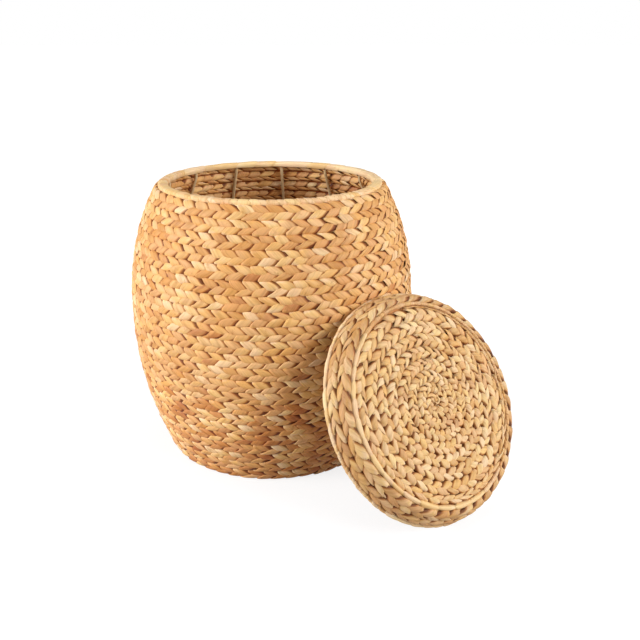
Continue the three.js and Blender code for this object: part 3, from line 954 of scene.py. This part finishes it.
def leaf_material(name, tones, fibre, stain, roughness):
    """Dry leaf: a tone for each leaf, fibres along it, soft stains and lengthwise creases, with painted
    shade from each point's depth.
    """
    material, tree = new_material(name)
    uv = add(tree, "ShaderNodeUVMap", uv_map="LeafMap").outputs[0]
    place = object_place(tree)
    fine = noise(tree, scaled(tree, uv, FINE_SCALE), scale=1.0, detail=4.0, rough=0.65)
    broad = noise(tree, scaled(tree, uv, BROAD_SCALE), scale=1.0, detail=3.0, rough=0.55)
    patch = noise(tree, place, scale=26.0, detail=3.0, rough=0.6)
    spots = noise(tree, place, scale=120.0, detail=3.0, rough=0.6)
    centred = math_node(tree, "SUBTRACT", patch, 0.5)
    shifted = stretched(tree, centred, PATCH_SHIFT, point_value(tree, "tone"))
    base = ramp(tree, shifted, tone_stops(tones))
    base = mix(tree, "MULTIPLY", point_value(tree, "warmth"), base, WARM)
    turned = math_node(tree, "SINE", math_node(tree, "MULTIPLY", shifted, HUE_TURNS))
    layers = (
        (stretched(tree, turned, 0.5, 0.5), 1.0, HUES),
        # Painted shade, by each point's depth
        (point_value(tree, "depth"), 1.0, PAINTED_SHADES),
        (fine, fibre, FIBRES),
        (broad, CREASE_COLOUR, FOLDS),
        (spots, stain, STAINS),
    )
    for factor, strength, stops in layers:
        base = mix(tree, "MULTIPLY", strength, base, ramp(tree, factor, stops))
    creases = bump(tree, broad, strength=0.6, distance=0.0011)
    fibres = bump(tree, fine, strength=0.5, distance=0.0004, below=creases)
    rough = stretched(tree, fine, ROUGH_RANGE, roughness - ROUGH_SHARE)
    shader = principled(tree, base, rough, fibres)
    shader.inputs["Specular IOR Level"].default_value = LEAF_GLOSS
    show(tree, shader.outputs[0])
    return material


def wire_material():
    """Painted steel wire: beige brown, slightly glossy, with a little wear."""
    material, tree = new_material("painted_wire")
    patch = noise(tree, object_place(tree), scale=90.0, detail=4.0, rough=0.6)
    base = ramp(tree, patch, tone_stops(WIRE_TONES))
    worn = bump(tree, patch, strength=0.2, distance=0.0003)
    shader = principled(tree, base, stretched(tree, patch, 0.2, 0.3), worn)
    show(tree, shader.outputs[0])
    return material


# Room, lamps and camera


def make_floor():
    """A white floor that keeps the shadow, and shows whiter to the camera than it lights."""
    material, tree = new_material("floor_white")
    path = add(tree, "ShaderNodeLightPath")
    shown = math_node(tree, "MAXIMUM", path.outputs["Is Camera Ray"], path.outputs["Is Glossy Ray"])
    diffuse = add(tree, "ShaderNodeBsdfDiffuse")
    tree.links.new(mix(tree, "MIX", shown, FLOOR_LIT, FLOOR_SEEN), diffuse.inputs["Color"])
    away = add(tree, "ShaderNodeVectorMath", operation="LENGTH")
    tree.links.new(object_place(tree), away.inputs[0])
    strength = add(tree, "ShaderNodeMapRange")
    for key, value in FLOOR_GLOW.items():
        strength.inputs[key].default_value = value
    tree.links.new(away.outputs["Value"], strength.inputs["Value"])
    glow = add(tree, "ShaderNodeEmission")
    glow.inputs["Color"].default_value = (*WHITE, 1)
    tree.links.new(strength.outputs[0], glow.inputs["Strength"])
    glowing = math_node(tree, "MULTIPLY", shown, GLOW_SHARE)
    show(tree, blend_shaders(tree, glowing, diffuse.outputs[0], glow.outputs[0]))
    bpy.ops.mesh.primitive_plane_add(size=FLOOR_SIZE, location=(0, 0, -0.5 * MM))
    floor = bpy.context.object
    floor.name = "floor"
    floor.data.materials.append(material)


def background(tree, strength):
    """An even white background."""
    node = add(tree, "ShaderNodeBackground")
    node.inputs["Color"].default_value = (*WHITE, 1)
    node.inputs["Strength"].default_value = strength
    return node.outputs[0]


def make_world():
    """A white room: even light, and white to the camera."""
    world = bpy.data.worlds.new("white_room")
    bpy.context.scene.world = world
    tree = cleared_tree(world)
    seen = add(tree, "ShaderNodeLightPath").outputs["Is Camera Ray"]
    both = blend_shaders(tree, seen, background(tree, WORLD_LIGHT), background(tree, 1.0))
    show(tree, both, "ShaderNodeOutputWorld")


def add_lamp(name, place, size, power):
    """A square soft lamp that faces the middle of the view."""
    data = bpy.data.lights.new(name, "AREA")
    data.shape = "SQUARE"
    data.size = size
    data.energy = power
    lamp = bpy.data.objects.new(name, data)
    bpy.context.scene.collection.objects.link(lamp)
    lamp.location = place
    lamp.rotation_euler = (Vector(LOOKED_AT) - Vector(place)).to_track_quat("-Z", "Y").to_euler()


def make_camera():
    """The photograph's camera, level from side to side."""
    data = bpy.data.cameras.new("camera")
    data.sensor_fit = "HORIZONTAL"
    data.sensor_width = SENSOR
    data.lens = FOCAL_PIXELS / PHOTO_SIZE * SENSOR
    data.clip_start = 0.02
    data.clip_end = 100
    camera = bpy.data.objects.new("camera", data)
    bpy.context.scene.collection.objects.link(camera)
    camera.location = CAMERA_PLACE
    camera.rotation_euler = (math.radians(90 - CAMERA_PITCH), 0, 0)
    bpy.context.scene.camera = camera


# The pieces

leaves = {name: leaf_material(name, **settings) for name, settings in LEAVES.items()}
painted_wire = wire_material()

# Wall rows, one object a row, from the floor up
wall_nodes = sorted(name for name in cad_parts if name.startswith("wall_braid"))
for number, node in enumerate(wall_nodes):
    is_lower = number < LOWER_ROWS
    look = LOWER_ROW_LOOK if is_lower else WALL_LOOK
    look = {wall_nodes[0]: FOOT_ROW_LOOK, wall_nodes[-1]: TOP_ROW_LOOK}.get(node, look)
    ring = plaited_ring(node, "basket", look, WALL_SPACING, number + 1)
    leaf = leaves["shaded_wall_leaf" if is_lower else "wall_leaf"]
    make_object(ring, leaf, "basket", [node])

# Mats of the base and the lid
base = plaited_mat(
    "base_braid", "basket", WALL_LOOK, turns=8, swell=0.0, start=0, seed=41,
    spacings=(BASE_MIDDLE_SPACING, WALL_SPACING),
)
make_object(base, leaves["wall_leaf"], "basket", ["base_braid"])
top = plaited_mat(
    "lid_top_braid", "lid", LID_LOOK, turns=8, swell=0.12, start=-154.3, seed=42,
    spacings=(LID_MIDDLE_SPACING, LID_SPACING),
)
make_object(top, leaves["lid_leaf"], "lid", ["lid_top_braid"])

# The lid's skirt
for node, look, seed in (("lid_skirt_braid_1", SKIRT_LOOK, 51), ("lid_skirt_braid_2", UPPER_SKIRT_LOOK, 52)):
    ring = plaited_ring(node, "lid", look, SKIRT_SPACING, seed)
    make_object(ring, leaves["shaded_skirt_leaf"], "lid", [node])

# Rolls over the hoops, with tucked ends under the piping
ROLLS = (
    ("rim_binding", "rim_hoop", "basket", RIM_LOOK, "roll_leaf", 11),
    ("lid_mouth_binding", "lid_mouth_hoop", "lid", MOUTH_LOOK, "pale_leaf", 17),
    ("lid_piping", "lid_top_hoop", "lid", PIPING_LOOK, "pale_leaf", 10),
)
for node, hoop, body, look, leaf, seed in ROLLS:
    roll = bound_roll(node + "_wrap", hoop, body, look, seed)
    if node == "lid_piping":
        roll = join_parts([roll, piping_bed(node + "_wrap", hoop, body)])
    make_object(roll, leaves[leaf], body, [node])

# Wires keep their CAD shape
for name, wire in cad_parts.items():
    if any(kind in name for kind in ("rod", "hoop", "wire")):
        wire.data.materials.clear()
        wire.data.materials.append(painted_wire)
        wire.data.polygons.foreach_set("use_smooth", np.ones(len(wire.data.polygons), bool))

# The room
make_floor()
make_world()
for name, place, size, power in LAMPS:
    add_lamp(name, place, size, power)
make_camera()
bpy.context.scene.view_settings.view_transform = "Standard"
